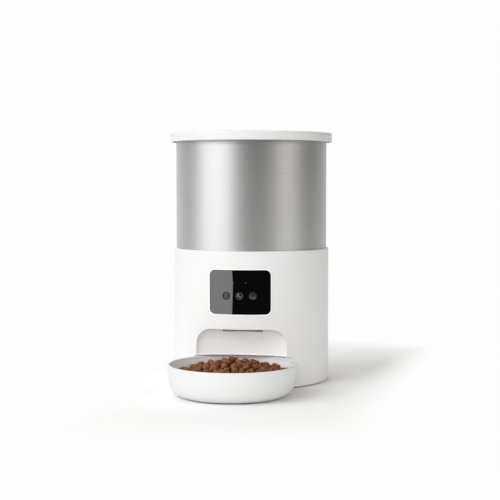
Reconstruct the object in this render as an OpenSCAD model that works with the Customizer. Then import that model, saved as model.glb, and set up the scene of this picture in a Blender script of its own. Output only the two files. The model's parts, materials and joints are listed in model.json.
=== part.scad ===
// Round automatic pet feeder: white housing, steel hopper, lift-off lid, camera window and bowl.
// Millimetres, +Z up, the front faces -Y, the origin is the centre of the resting face.

/* [Housing] */
// Outer radius of the housing
body_r = 95; // [94.5:0.5:97]
// Height of the housing's top edge above the floor
body_top = 162.3; // [161:0.1:164]
// Thickness of the housing's wall
wall = 2.5; // [2.2:0.1:2.8]
// Gap between the housing and the floor
floor_gap = 1.2; // [1:0.1:1.5]

/* [Hopper and lid] */
// Wall thickness of the steel sleeve
sleeve_t = 0.8; // [0.6:0.1:1]
// Outer radius of the lid
lid_r = 99.1; // [98.8:0.1:101]
// Height of the lid's lower edge
lid_bottom = 291.8; // [285:0.1:310]
// Height of the lid's outer skirt
lid_h = 10.6; // [10.4:0.1:11.5]
// Half angle of the press tab in the lid's skirt
tab_half = 25; // [18:1:27]

/* [Bowl and mouth] */
// Outer radius of the bowl
bowl_r = 74; // [73:0.1:74.3]
// Height of the bowl's rim
bowl_h = 36.8; // [34:0.1:37.2]
// Distance from the housing's axis to the bowl's centre
bowl_reach = 130; // [129:0.5:131]
// Radius of the bowl's foot
bowl_foot_r = 52; // [48:1:56]
// Distance from the housing's axis to the mouth's back wall
mouth_back = 67.5; // [66:0.5:69]
// Radius of the bay for the bowl about the bowl's centre
bay_r = 78.9; // [78.5:0.1:79.2]
// Height of the bay's roof
bay_top = 37.6; // [37.5:0.1:38.2]
// Height of the mouth's flat top
mouth_top = 71; // [70.5:0.1:71.5]

/* [Camera window] */
// Width of the window across the front
window_w = 72.4; // [70:0.2:74]
// Height of the window
window_h = 52.1; // [50:0.1:53]
// Height of the window's centre above the floor
window_z = 114.65; // [114:0.05:116]
// Height of the row of lenses above the floor
lens_z = 110.4; // [108:0.1:113]
// Angle between neighbouring lenses
lens_step = 9.45; // [9:0.05:11]

/* [Metering rotor] */
// Number of paddles
paddles = 6; // [4:1:8]
// Outer radius of the paddles
paddle_r = 46.8; // [44:0.1:47]

/* [Hidden] */
$fn = 96;
eps = 0.01;
fit_gap = 0.3;

// Housing
body_in = body_r - wall;
top_bevel = 1;
bottom_round = 1.6;
arch_half = 54;
arch_corner = 20;
mouth_r = 200;
lip_h = 1.6;
lip_out = 0.9;
bowl_aside = -2.4;

// Levels of the mechanism
deck_z = 110;
deck_t = 2.5;
deck_top = deck_z + deck_t;
deck_rim = 149.5;
tank_floor = deck_top + fit_gap;
tank_floor_t = 2.5;
chamber_r = 48.2;
chamber_top = 150;
tank_t = 2.2;
funnel_top = 180;

// Hopper
sleeve_r = body_in - fit_gap;
sleeve_bottom = deck_rim + fit_gap;
sleeve_top = lid_bottom + 0.6;
tank_r = sleeve_r - sleeve_t - 0.15;
tank_in = tank_r - tank_t;
rim_lip_t = 1.6;
rim_lip_top = sleeve_top + rim_lip_t;

// Lid
lid_top = lid_bottom + lid_h;
lid_plate = 2.2;
lid_under = lid_top - lid_plate;
skirt_t = 2.5;
plug_r = 86.5;
plug_in = 84;
tab_h = 7.6;
latch_stem_z = rim_lip_top + 2.4;
latch_stem_h = 3;
holder_r = 24.5;
holder_bottom = lid_under - 21;

// Chute, its two outlines in the plane of its slope as (y, z)
slot_half = 24;
sill_z = 65.4;
chute_t = 2;
chute_half = slot_half + chute_t;
nose_y = -79.6;
chute_inner = [[-62, deck_z + 1], [-26, deck_z + 1], [-26, deck_z - 1],
    [12 - mouth_back, sill_z + 2.6], [-mouth_back - 2.5, sill_z], [nose_y, sill_z],
    [nose_y, 72.8], [-66, 86], [-62, deck_z - 1]];
chute_outer = [[-64, deck_z], [-24, deck_z], [-24, deck_z - 2],
    [13.7 - mouth_back, sill_z + 1], [-mouth_back - 2.5, sill_z - chute_t],
    [nose_y - chute_t, sill_z - chute_t], [nose_y - chute_t, 73.4], [-68.2, 86.4],
    [-64, deck_z - 2]];

// Camera
pocket_half = 40;
pocket_y = 70;
window_out = body_r - 0.3;
window_t = 1.5;
lens_r = 4.7;

// Base
ring_r = 86;
ring_w = 8;
ring_h = 2;
plate_t = 3.6;
door_t = 2.2;
plate_top = floor_gap + plate_t;
screw_angles = [70, 115, 160, 200, 245, 290];
screw_circle = 72;
deck_screw_angles = [75, 140, 220, 285];
deck_screw_circle = 85;

// Batteries
cell_r = 17.1;
cell_l = 59.5;
cell_step = 34.5;
cell_z = plate_top + 0.4 + cell_r;
tray_half_x = 54;
tray_half_y = 36;
tray_wall = 2;
tray_top = cell_z + cell_r + 0.6 + tray_wall;
door_half_x = 52;
door_half_y = 34;
door_travel = 10;

// Gear train
gear_m = 1;
gear_play = 0.28;
pressure = 25;
drive_teeth = 40;
idler_small = 12;
idler_large = 36;
pinion_teeth = 10;
idler_y = gear_m * (drive_teeth + idler_small) / 2;
motor_y = idler_y + gear_m * (idler_large + pinion_teeth) / 2;
case_bottom = 80;
case_top = 106;
case_t = 2.5;
shaft_r = 4;
motor_r = 12.2;
motor_h = 34;

// Rear panel
rear_z = 22;
rear_x = 12;
speaker_angle = 230;
speaker_z = 62;
button_r = 3.2;

// A cylinder ring from z0 to z1
module ring(ro, ri, z0, z1) {
    translate([0, 0, z0])
    difference() {
        cylinder(r = ro, h = z1 - z0);
        translate([0, 0, -1]) cylinder(r = ri, h = z1 - z0 + 2);
    }
}

// A ring's sector, centred on the front and turned by an angle
module ring_sector(ro, ri, z0, z1, half, at) {
    rotate([0, 0, at - 90 - half])
    rotate_extrude(angle = 2 * half)
    translate([ri, z0]) square([ro - ri, z1 - z0]);
}

// Children moved to a place at an angle from the front
module at_angle(a, r, z = 0) {
    rotate([0, 0, a]) translate([0, -r, z]) children();
}

// Children moved to the bowl's centre
module at_bowl() {
    translate([0, -bowl_reach, 0]) children();
}

// Children moved to the centre of the wide arc of the mouth's back wall
module at_back() {
    translate([0, -mouth_back - mouth_r, 0]) children();
}

// A flat outline in X and Z, extruded towards the front from y = -y0 to y = -y1
module towards_front(y0, y1) {
    translate([0, -y0, 0]) rotate([90, 0, 0]) linear_extrude(y1 - y0) children();
}

module rounded_rect(w, h, r) {
    square([w - 2 * r, h], center = true);
    square([w, h - 2 * r], center = true);
    for (x = [-1, 1], z = [-1, 1])
        translate([x * (w / 2 - r), z * (h / 2 - r)]) circle(r = r);
}

// Outline of the mouth: straight sides and a flat top with round corners
module arch(grow, low) {
    r = arch_corner + grow;
    half = arch_half + grow;
    top = mouth_top + grow;
    translate([-half, low]) square([2 * half, top - r - low]);
    translate([r - half, low]) square([2 * (half - r), top - low]);
    for (x = [-1, 1]) translate([x * (half - r), top - r]) circle(r = r);
}

// A pan-head screw, head down at z = 0, thread upwards
module screw(head_r, head_h, r, l) {
    difference() {
        union() {
            cylinder(r = head_r, h = head_h);
            translate([0, 0, head_h]) cylinder(r = r, h = l);
        }
        for (a = [0, 90]) rotate([0, 0, a])
            translate([-head_r * 0.6, -0.35, -eps]) cube([head_r * 1.2, 0.7, head_h * 0.55]);
    }
}

// A round-wire coil along +Z, its radius running from r0 to r1
module coil(r0, r1, length, turns, wire, sides = 6, steps = 12) {
    n = turns * steps;
    path = [for (i = [0:n]) let (a = 360 * i / steps, r = r0 + (r1 - r0) * i / n)
        for (j = [0:sides - 1]) let (b = 360 * j / sides, q = r + wire * cos(b))
            [q * cos(a), q * sin(a), wire + (length - 2 * wire) * i / n + wire * sin(b)]];
    sides_faces = [for (i = [0:n - 1], j = [0:sides - 1]) let (k = (j + 1) % sides)
        [i * sides + j, (i + 1) * sides + j, (i + 1) * sides + k, i * sides + k]];
    ends = [[for (j = [0:sides - 1]) j], [for (j = [sides - 1:-1:0]) n * sides + j]];
    polyhedron(points = path, faces = concat(sides_faces, ends), convexity = 6);
}

// Roll of an involute at a radius, and the angle it sweeps
function roll(r, rb) = r > rb ? sqrt(pow(r / rb, 2) - 1) : 0;
function sweep_angle(t) = t * 180 / PI - atan(t);

// Outline of an involute gear, one tooth centred on +X
module gear_outline(teeth) {
    rp = teeth * gear_m / 2;
    rb = rp * cos(pressure);
    ra = rp + 0.85 * gear_m;
    rr = rp - 1.15 * gear_m;
    half = 90 / teeth - gear_play / (2 * rp) * 180 / PI + sweep_angle(tan(pressure));
    flank = [for (k = [0:3]) let (r = max(rb, rr) + (ra - max(rb, rr)) * k / 3)
        [r, half - sweep_angle(roll(r, rb))]];
    outline = concat([[rr - 0.3, flank[0][1]]], flank);
    circle(r = rr);
    for (i = [0:teeth - 1]) rotate(i * 360 / teeth)
        polygon(concat(
            [for (p = outline) p[0] * [cos(p[1]), -sin(p[1])]],
            [for (k = [len(outline) - 1:-1:0])
                outline[k][0] * [cos(outline[k][1]), sin(outline[k][1])]]));
}

// ---------------------------------------------------------------- housing

// The space of the mouth and of the bay for the bowl
module mouth_space() {
    intersection() {
        towards_front(30, body_r + 10) arch(0, bay_top - 1);
        at_back() translate([0, 0, bay_top - 1]) cylinder(r = mouth_r, h = 60);
    }
    at_bowl() translate([0, 0, -1]) cylinder(r = bay_r, h = bay_top + 1);
}

module housing() {
    color("white")
    difference() {
        union() {
            rotate_extrude() polygon(concat(
                [[body_in, floor_gap]],
                [for (a = [-90:15:0]) [body_r - bottom_round + bottom_round * cos(a),
                    floor_gap + bottom_round + bottom_round * sin(a)]],
                [[body_r, body_top - top_bevel], [body_r - top_bevel, body_top],
                    [body_in, body_top]]));
            intersection() {
                translate([0, 0, floor_gap]) cylinder(r = body_in + 0.5, h = 100);
                union() {
                    at_bowl() translate([0, 0, floor_gap])
                        cylinder(r = bay_r + wall, h = bay_top + wall - floor_gap);
                    intersection() {
                        towards_front(30, body_r) arch(2.2, bay_top);
                        at_back() cylinder(r = mouth_r + wall, h = 100);
                    }
                }
            }
            base_bosses();
            deck_bosses();
            board_rails();
        }
        mouth_space();
        chute_opening();
        towards_front(body_in - 20, body_r + 5) translate([0, window_z])
            rounded_rect(window_w - 3, window_h - 3, 5);
        difference() {
            towards_front(body_in - 20, body_r + 5) translate([0, window_z])
                rounded_rect(window_w + 3, window_h + 3, 8);
            translate([0, 0, window_z]) cylinder(r = window_out - window_t - 0.05,
                h = window_h + 20, center = true);
        }
        rear_openings();
        speaker_holes();
    }
    color("white") mouth_lip();
}

// A small rounded lip along the foot of the mouth's back wall
module mouth_lip() {
    intersection() {
        at_back() translate([0, 0, bay_top])
        rotate_extrude() polygon(concat(
            [[mouth_r + wall - eps, 0], [mouth_r + wall - eps, lip_h], [mouth_r, lip_h]],
            [for (a = [90:30:270]) [mouth_r - lip_out / 2 + lip_out / 2 * cos(a),
                lip_h / 2 + lip_h / 2 * sin(a)]],
            [[mouth_r, 0]]));
        cylinder(r = body_r - 0.6, h = 100);
        towards_front(30, body_r) translate([-arch_half, 0]) square([2 * arch_half, 60]);
    }
}

// Holes for the base screws stand in posts tied to the wall
module base_bosses() {
    for (a = screw_angles) at_angle(a, 0)
    difference() {
        union() {
            translate([0, -screw_circle, plate_top]) cylinder(r = 4, h = 16);
            translate([-1, -body_in - 0.5, plate_top]) cube([2, body_in - screw_circle - 2, 16]);
        }
        translate([0, -screw_circle, plate_top - eps]) cylinder(r = 1.6, h = 14);
    }
}

module deck_bosses() {
    for (a = deck_screw_angles) at_angle(a, 0)
    difference() {
        union() {
            translate([0, -deck_screw_circle, deck_z - 16]) cylinder(r = 4, h = 16);
            translate([-1, -body_in - 0.5, deck_z - 16])
                cube([2, body_in - deck_screw_circle - 2, 16]);
        }
        translate([0, -deck_screw_circle, deck_z - 14]) cylinder(r = 1.4, h = 15);
    }
}

// Two slotted rails hold the main board upright behind the gear case
module board_rails() {
    intersection() {
        cylinder(r = body_in + 0.5, h = 200);
        for (x = [-1, 1]) difference() {
            translate([x * 38 - 1.5, 73.5, 46]) cube([3, 20, 54]);
            translate([x * 36.5 - 0.9, 75.9, 48]) cube([1.8, 1.9, 60]);
        }
    }
}

// The slot at the top of the back wall, and a hole in the mouth's roof for the chute's end
module chute_opening() {
    along_x(slot_half) polygon(chute_inner);
    translate([-chute_half - fit_gap, nose_y - chute_t - fit_gap, mouth_top - eps])
        cube([2 * (chute_half + fit_gap), 33, 4]);
}

module rear_openings() {
    translate([-rear_x, body_in - 8, rear_z]) rotate([-90, 0, 0]) cylinder(r = 5, h = 20);
    translate([rear_x, body_in - 8, rear_z]) rotate([-90, 0, 0])
        cylinder(r = button_r + fit_gap, h = 20);
}

// Rings of small holes in front of the speaker
module speaker_holes() {
    for (k = [0:2], i = [0:max(1, 6 * k) - 1]) at_angle(speaker_angle, 0, speaker_z)
        rotate([90, 0, 0]) rotate([0, 0, i * 360 / max(1, 6 * k)])
        translate([4.2 * k, 0, body_in - 4]) cylinder(r = 0.9, h = 12, $fn = 24);
}

// ---------------------------------------------------------------- base

module base_plate() {
    color("gainsboro")
    difference() {
        translate([0, 0, floor_gap]) cylinder(r = body_in - fit_gap, h = plate_t);
        at_bowl() cylinder(r = bay_r + wall + fit_gap, h = 20);
        ring_recess();
        translate([-door_half_x - fit_gap, -door_half_y - fit_gap, 0]) cube([
            2 * (door_half_x + fit_gap), 2 * (door_half_y + fit_gap) + door_travel,
            floor_gap + door_t + 0.2]);
        translate([1 - door_half_x, 1 - door_half_y, 0])
            cube([2 * door_half_x - 2, 2 * door_half_y - 2, 8]);
        for (x = [-1, 1]) translate([x * (door_half_x + 1) - 1.6, -door_half_y, floor_gap + 1])
            cube([3.2, 2 * door_half_y + door_travel, 1.4]);
        for (a = screw_angles) at_angle(a, screw_circle) {
            cylinder(r = 1.9, h = 10);
            cylinder(r = 3.6, h = floor_gap + 1.6);
        }
    }
}

module ring_recess() {
    difference() {
        ring(ring_r + 0.1, ring_r - ring_w - 0.1, 0, ring_h);
        at_bowl() cylinder(r = bay_r + wall + 2.9, h = 20);
    }
}

module non_slip_ring() {
    color("dimgray")
    difference() {
        ring(ring_r, ring_r - ring_w, 0, ring_h);
        at_bowl() translate([0, 0, -1]) cylinder(r = bay_r + wall + 3, h = 20);
    }
}

module base_screws() {
    color("silver")
    for (a = screw_angles) at_angle(a, screw_circle, floor_gap + 0.1) screw(3.3, 1.5, 1.6, 12);
}

module battery_door() {
    color("gainsboro")
    difference() {
        union() {
            translate([-door_half_x, -door_half_y, floor_gap])
                cube([2 * door_half_x, 2 * door_half_y, door_t]);
            for (x = [-1, 1])
                translate([x * (door_half_x + 0.6) - 0.7, 6 - door_half_y, floor_gap + 1.25])
                    cube([1.4, 2 * door_half_y - 12, 0.9]);
        }
        for (k = [0:4]) translate([-12, door_half_y - 14 + 2.4 * k, floor_gap - eps])
            cube([24, 1.2, 0.8]);
    }
}

module battery_tray() {
    color("whitesmoke")
    difference() {
        translate([-tray_half_x - 1, -tray_half_y, plate_top])
            cube([2 * tray_half_x + 2, 2 * tray_half_y, tray_top - plate_top]);
        translate([-tray_half_x + 1, -tray_half_y + tray_wall, 0])
            cube([2 * tray_half_x - 2, 2 * (tray_half_y - tray_wall), tray_top - tray_wall]);
    }
}

module cell(i) {
    translate([(i - 1) * cell_step, -cell_l / 2 - 1.4, cell_z]) rotate([-90, 0, 0])
    rotate_extrude() polygon([
        [0, 0], [cell_r - 1.6, 0], [cell_r - 0.8, 0.8], [cell_r, 1.6], [cell_r, cell_l - 2],
        [cell_r - 1, cell_l - 1], [cell_r - 2.4, cell_l - 0.6], [cell_r - 2.4, cell_l - 0.2],
        [5.2, cell_l - 0.2], [4.75, cell_l + 1.3], [0, cell_l + 1.3]]);
}

module battery_1() { color("darkslategray") cell(0); }
module battery_2() { color("darkslategray") cell(1); }
module battery_3() { color("darkslategray") cell(2); }

// One sprung contact at the flat end of each cell
module battery_springs() {
    color("silver")
    for (i = [-1:1]) translate([i * cell_step, -tray_half_y + tray_wall + 0.5, cell_z])
        rotate([-90, 0, 0]) coil(7, 4, 2.2, 2, 0.45);
}

module battery_contacts() {
    color("silver")
    for (i = [-1:1]) {
        translate([i * cell_step - 9, -tray_half_y + tray_wall + eps, cell_z - 9])
            cube([18, 0.45, 18]);
        translate([i * cell_step - 9, tray_half_y - tray_wall - 4.3, cell_z - 9]) {
            translate([0, 3.8, 0]) cube([18, 0.5, 18]);
            translate([6, 0, 5]) cube([6, 3.9, 8]);
        }
    }
}

// ---------------------------------------------------------------- rear panel

module power_board() {
    color("darkgreen") translate([-22, 78, 12]) cube([44, 1.6, 21]);
}

module power_socket() {
    color("black")
    difference() {
        union() {
            translate([-rear_x - 5.5, 79.6, rear_z - 6]) cube([11, 11, 11.5]);
            translate([-rear_x, 84, rear_z]) rotate([-90, 0, 0]) cylinder(r = 4.8, h = 10);
        }
        translate([-rear_x, 84, rear_z]) rotate([-90, 0, 0]) difference() {
            cylinder(r = 3.15, h = 12);
            translate([0, 0, -1]) cylinder(r = 1, h = 10);
        }
    }
}

module reset_switch() {
    color("dimgray") translate([rear_x - 3, 79.6, rear_z - 3]) cube([6, 6.2, 6]);
}

module reset_spring() {
    color("silver") translate([rear_x, 85.85, rear_z]) rotate([-90, 0, 0]) coil(2, 2, 3.9, 4, 0.25);
}

module reset_button() {
    color("white")
    translate([rear_x, 0, rear_z]) rotate([-90, 0, 0]) {
        translate([0, 0, 91]) cylinder(r = button_r, h = 3.9);
        translate([0, 0, 89.8]) cylinder(r = button_r + 1, h = 1.3);
    }
}

// ---------------------------------------------------------------- electronics

module main_board() {
    color("darkgreen") translate([-37, 76, 48.2]) cube([74, 1.6, 50]);
    color("black") for (x = [-24, -4, 18]) translate([x, 73.6, 60]) cube([12, 2.4, 12]);
}

module ribbon_cable() {
    color("lightgray") ring_sector(89.6, 89.1, 82, 92, 56, 90);
}

module speaker() {
    color("black") at_angle(speaker_angle, 0, speaker_z) rotate([90, 0, 0]) {
        translate([0, 0, 76]) cylinder(r = 10, h = 6);
        translate([0, 0, 82]) cylinder(r = 16, h = 5.5);
    }
}

module camera_board() {
    color("darkgreen") translate([-33, -81.6, window_z - 23]) cube([66, 1.6, 46]);
}

module camera_barrel() {
    color("black") translate([0, -81.6, lens_z]) rotate([90, 0, 0]) {
        cylinder(r = 7, h = 5);
        translate([0, 0, 5]) cylinder(r = 5.4, h = window_out - 81.6 - window_t - 5.3);
    }
}

// The curved outline of the window between two radii
module window_body(grow, ri, ro) {
    intersection() {
        towards_front(body_in - 25, body_r + 5) translate([0, window_z])
            rounded_rect(window_w + 2 * grow, window_h + 2 * grow, 6.4 + grow);
        difference() {
            cylinder(r = ro, h = 200);
            translate([0, 0, -1]) cylinder(r = ri, h = 202);
        }
    }
}

module camera_window() {
    color("black")
    difference() {
        window_body(0, window_out - window_t, window_out);
        for (i = [-1:1]) at_angle(i * lens_step, 0, lens_z)
            rotate([90, 0, 0]) cylinder(r = lens_r + 0.1, h = 120);
        for (a = [-4.3, 4.5]) at_angle(a, 0, window_z + 11.05)
            rotate([90, 0, 0]) cylinder(r = 0.65, h = 120, $fn = 32);
    }
}

module window_bezel() {
    color("white")
    difference() {
        window_body(1.35, window_out - window_t, body_r + 0.25);
        window_body(0.05, 60, body_r + 5);
    }
}

// A lens disc with a shallow crown, facing outwards at an angle
module lens(a, r) {
    at_angle(a, window_out - window_t, lens_z) rotate([90, 0, 0])
    rotate_extrude() polygon(concat([[0, 0], [r, 0], [r, 1.1]],
        [for (k = [1:5]) [r * (1 - k / 5), 1.1 + 0.25 * (1 - pow(1 - k / 5, 2))]]));
}

module camera_lens() { color("darkslateblue") lens(0, lens_r); }
module left_ir_lens() { color("dimgray") lens(-lens_step, lens_r); }
module right_ir_lens() { color("dimgray") lens(lens_step, lens_r); }

module status_light(a) {
    at_angle(a, window_out - 0.1, window_z + 11.05) rotate([-90, 0, 0])
        cylinder(r = 0.6, h = 12.6, $fn = 32);
}

module red_status_light() { color("red") status_light(4.5); }
module green_status_light() { color("green") status_light(-4.3); }

// ---------------------------------------------------------------- dispenser

module dispenser_deck() {
    color("whitesmoke")
    difference() {
        union() {
            translate([0, 0, deck_z]) cylinder(r = sleeve_r, h = deck_t);
            ring(sleeve_r, sleeve_r - 2, deck_z, deck_rim);
            intersection() {
                cylinder(r = sleeve_r, h = deck_rim);
                translate([-pocket_half - 2, -body_r, deck_z])
                    cube([2 * pocket_half + 4, body_r - pocket_y + 2, deck_rim - deck_z]);
            }
        }
        translate([-pocket_half, -body_r - 1, deck_z - 1])
            cube([2 * pocket_half, body_r - pocket_y + 1, deck_rim - deck_z - 1]);
        translate([-slot_half, -62, deck_z - 1]) cube([2 * slot_half, 36, 10]);
        cylinder(r = 10, h = 200);
        for (a = deck_screw_angles) at_angle(a, deck_screw_circle) cylinder(r = 1.7, h = 200);
    }
}

module deck_screws() {
    color("silver")
    for (a = deck_screw_angles) at_angle(a, deck_screw_circle, deck_top + 1.8)
        mirror([0, 0, 1]) screw(3, 1.8, 1.4, 14);
}

// The slope runs from the deck's opening to the slot, and its end fills the hole in the roof
module chute() {
    color("white")
    difference() {
        union() {
            along_x(chute_half) polygon(chute_outer);
            translate([-30, -67, deck_z - 2]) cube([60, 45, 2]);
        }
        along_x(slot_half) polygon(chute_inner);
        at_back() cylinder(r = mouth_r + wall + fit_gap, h = mouth_top + 0.1);
    }
}

// An outline in Y and Z, extruded both ways along X
module along_x(half) {
    translate([-half, 0, 0]) rotate([90, 0, 90]) linear_extrude(2 * half) children();
}

// ---------------------------------------------------------------- drive

// Children on a bench outline round the three axes of the gear train
module case_outline(grow) {
    circle(r = 23 + grow);
    translate([0, idler_y]) circle(r = 21 + grow);
    translate([0, motor_y]) circle(r = 14 + grow);
    translate([-14 - grow, 0]) square([28 + 2 * grow, motor_y]);
}

case_screws = [[-26.4, 4], [26.4, 4], [-18.1, 48], [18.1, 48]];

module case_ears(z0, z1) {
    for (p = case_screws) translate([p[0], p[1], z0]) cylinder(r = 3.6, h = z1 - z0);
}

module gear_case_lower() {
    color("lightgray")
    difference() {
        union() {
            translate([0, 0, case_bottom]) linear_extrude(case_t) case_outline(2);
            case_ears(case_bottom, case_bottom + case_t);
        }
        translate([0, motor_y, 0]) cylinder(r = 3.2, h = 200);
        cylinder(r = shaft_r + 0.06, h = 200);
        translate([0, idler_y, 0]) cylinder(r = 2, h = 200);
        for (p = case_screws) translate([p[0], p[1], 0]) cylinder(r = 1.6, h = 200);
    }
}

module gear_case_upper() {
    color("lightgray")
    difference() {
        union() {
            translate([0, 0, case_bottom + case_t])
                linear_extrude(case_top - case_bottom - case_t) case_outline(2);
            case_ears(case_bottom + case_t, deck_z);
        }
        translate([0, 0, case_bottom]) linear_extrude(case_top - case_bottom - case_t)
            case_outline(0);
        cylinder(r = 7, h = 200);
        translate([0, idler_y, 0]) cylinder(r = 2, h = 200);
        for (p = case_screws) translate([p[0], p[1], 0]) cylinder(r = 1.2, h = case_top);
    }
}

module gear_case_screws() {
    color("silver")
    for (p = case_screws) translate([p[0], p[1], case_bottom - 1.6]) screw(2.8, 1.6, 1.2, 14);
}

module output_bush() {
    color("goldenrod") ring(7, shaft_r + 0.05, case_top - case_t - 2, case_top + 1.5);
}

module idler_axle() {
    color("silver") translate([0, idler_y, case_bottom + 0.2]) cylinder(r = 2, h = 25.6);
}

module motor() {
    color("silver")
    translate([0, motor_y, case_bottom - motor_h]) {
        cylinder(r = motor_r, h = motor_h);
        translate([0, 0, -3]) cylinder(r = 3.2, h = 3);
        translate([0, 0, motor_h]) difference() {
            cylinder(r = 3, h = 2);
            cylinder(r = 1.3, h = 3);
        }
    }
}

module motor_pinion() {
    color("silver") translate([0, motor_y, case_bottom + 3]) {
        linear_extrude(7) gear_outline(pinion_teeth);
        translate([0, 0, -2.8]) cylinder(r = 1.1, h = 2.8 + eps);
    }
}

module idler_gear() {
    color("ivory") translate([0, idler_y, case_bottom + 3.5])
    difference() {
        union() {
            linear_extrude(6) gear_outline(idler_large);
            translate([0, 0, 6]) linear_extrude(8.5) rotate(180 / idler_small)
                gear_outline(idler_small);
        }
        translate([0, 0, -1]) cylinder(r = 2.05, h = 20);
    }
}

module drive_gear() {
    color("ivory") translate([0, 0, case_bottom + 11])
    difference() {
        union() {
            linear_extrude(6) gear_outline(drive_teeth);
            translate([0, 0, -2]) cylinder(r = 6.4, h = 11);
        }
        translate([0, 0, -3]) cylinder(r = shaft_r, h = 20);
    }
}

module drive_shaft() {
    color("silver") translate([0, 0, case_bottom + 0.2])
        cylinder(r = shaft_r, h = tank_floor - case_bottom - 2.3);
}

// A cross on the shaft's end that drives the rotor and lets the hopper lift away
module drive_dog() {
    color("ivory")
    difference() {
        union() {
            translate([0, 0, case_top + 1.8]) cylinder(r = 6.4, h = tank_floor - case_top - 4);
            translate([0, 0, tank_floor - 2.2]) for (a = [0, 90]) rotate([0, 0, a])
                translate([-6, -2, 0]) cube([12, 4, 6]);
        }
        translate([0, 0, case_top]) cylinder(r = shaft_r, h = tank_floor - case_top - 2.1);
    }
}

// ---------------------------------------------------------------- hopper

module hopper_sleeve() {
    color("silver") ring(sleeve_r, sleeve_r - sleeve_t, sleeve_bottom, sleeve_top);
}

module hopper_tank() {
    color("lightgray")
    rotate_extrude() polygon([
        [chamber_r, chamber_top - 1], [chamber_r + tank_t, chamber_top - 1],
        [tank_r, funnel_top - 2], [tank_r, sleeve_top + 0.1], [sleeve_r + 0.6, sleeve_top + 0.1],
        [sleeve_r + 0.6, rim_lip_top], [tank_in, rim_lip_top], [tank_in, funnel_top],
        [chamber_r, chamber_top]]);
}

// The cup under the funnel, with the drop hole in its floor
module metering_chamber() {
    color("lightgray")
    difference() {
        rotate_extrude() polygon([
            [0, tank_floor], [chamber_r + tank_t, tank_floor],
            [chamber_r + tank_t, chamber_top - 1], [chamber_r, chamber_top - 1],
            [chamber_r, tank_floor + tank_floor_t], [0, tank_floor + tank_floor_t]]);
        translate([0, 0, tank_floor - 1]) cylinder(r = 9.3, h = 10);
        translate([0, 0, tank_floor - 1]) ring_sector(46, 17, 0, 10, 32, 0);
    }
}

// A cover over the drop hole, so food only leaves between the paddles
module drop_cover() {
    color("dimgray") ring_sector(chamber_r, 12.5, 147.2, 149.4, 62, 0);
}

module rotor_hub() {
    color("ivory")
    difference() {
        union() {
            translate([0, 0, tank_floor + tank_floor_t + 0.3]) cylinder(r = 11.8, h = 31);
            translate([0, 0, tank_floor + 0.2]) cylinder(r = 8.9, h = 4);
            translate([0, 0, 140]) cylinder(r = 6, h = 11.6);
        }
        for (a = [0, 90]) rotate([0, 0, a])
            translate([-6.4, -2.35, tank_floor]) cube([12.8, 4.7, 4.6]);
        for (i = [0:paddles - 1]) rotate([0, 0, i * 360 / paddles + 30])
            translate([9, -1.1, tank_floor + tank_floor_t + 0.7]) cube([4, 2.2, 28]);
    }
}

module rotor_paddles() {
    color("gray")
    for (i = [0:paddles - 1]) rotate([0, 0, i * 360 / paddles + 30])
        translate([9, -1.1, tank_floor + tank_floor_t + 0.7]) {
            cube([paddle_r - 10.1, 2.2, 28]);
            translate([paddle_r - 10.1, 1.1, 0]) cylinder(r = 1.1, h = 28);
        }
}

module agitator() {
    color("ivory")
    difference() {
        union() {
            translate([0, 0, 150.2]) cylinder(r1 = 10, r2 = 8, h = 8);
            translate([0, 0, 158.2]) sphere(r = 8);
            for (a = [0, 180]) rotate([0, 0, a]) {
                translate([4, 0, 157]) rotate([0, 68, 0]) cylinder(r = 2.6, h = 34);
                translate([4, 0, 157]) rotate([0, 68, 0]) translate([0, 0, 34]) sphere(r = 2.6);
            }
        }
        translate([0, 0, 149]) cylinder(r = 6, h = 2.6);
    }
}

// ---------------------------------------------------------------- lid

// The side zone of the skirt that the press tab fills, with ends parallel to its travel
module tab_zone(side, grow) {
    half = lid_r * sin(tab_half) + grow;
    translate([side > 0 ? 0 : -lid_r - 5, -half, 0]) cube([lid_r + 5, 2 * half, 400]);
}

module lid() {
    round_r = 2;
    color("white")
    difference() {
        rotate_extrude() polygon(concat(
            [[lid_r - skirt_t, lid_bottom], [lid_r - 0.5, lid_bottom], [lid_r, lid_bottom + 0.5]],
            [for (a = [0:15:90]) [lid_r - round_r + round_r * cos(a),
                lid_top - round_r + round_r * sin(a)]],
            [[0, lid_top], [0, lid_under], [plug_in, lid_under],
                [plug_in, lid_bottom - 6], [plug_r, lid_bottom - 6],
                [plug_r, rim_lip_top + fit_gap], [sleeve_r, rim_lip_top + fit_gap],
                [sleeve_r, rim_lip_top + 2], [plug_r, rim_lip_top + 2],
                [plug_r, lid_under], [lid_r - skirt_t, lid_under]]));
        for (side = [-1, 1]) intersection() {
            ring(lid_r + 1, lid_r - skirt_t - 0.5, lid_bottom - 1, lid_bottom + tab_h + 0.4);
            tab_zone(side, 0);
        }
    }
}

module lid_seal() {
    z = lid_bottom - 5.2;
    color("lightgray")
    rotate_extrude() polygon([
        [plug_r, z], [plug_r + 0.9, z], [tank_in - fit_gap, z + 0.8], [plug_r + 0.9, z + 1.4],
        [plug_r + 0.9, z + 2.4], [tank_in - fit_gap, z + 3.2], [plug_r + 0.9, z + 3.8],
        [plug_r + 0.9, z + 5], [plug_r, z + 5]]);
}

// A press tab let into the skirt, on a stem that slides towards the axis
module lid_latch(side) {
    color("white") {
        intersection() {
            ring(lid_r - 0.3, lid_r - skirt_t + 0.2, lid_bottom - 0.4, lid_bottom + tab_h);
            tab_zone(side, -0.7);
        }
        translate([side > 0 ? 90 : -lid_r + 2, -6, latch_stem_z])
            cube([lid_r - 92, 12, latch_stem_h]);
    }
}

module left_lid_latch() { lid_latch(-1); }
module right_lid_latch() { lid_latch(1); }

module latch_spring(side) {
    color("silver") translate([side * (plug_r + 0.1), 0, latch_stem_z + latch_stem_h / 2])
        rotate([0, side * 90, 0]) coil(1.2, 1.2, 3.35, 3, 0.2);
}

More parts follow.
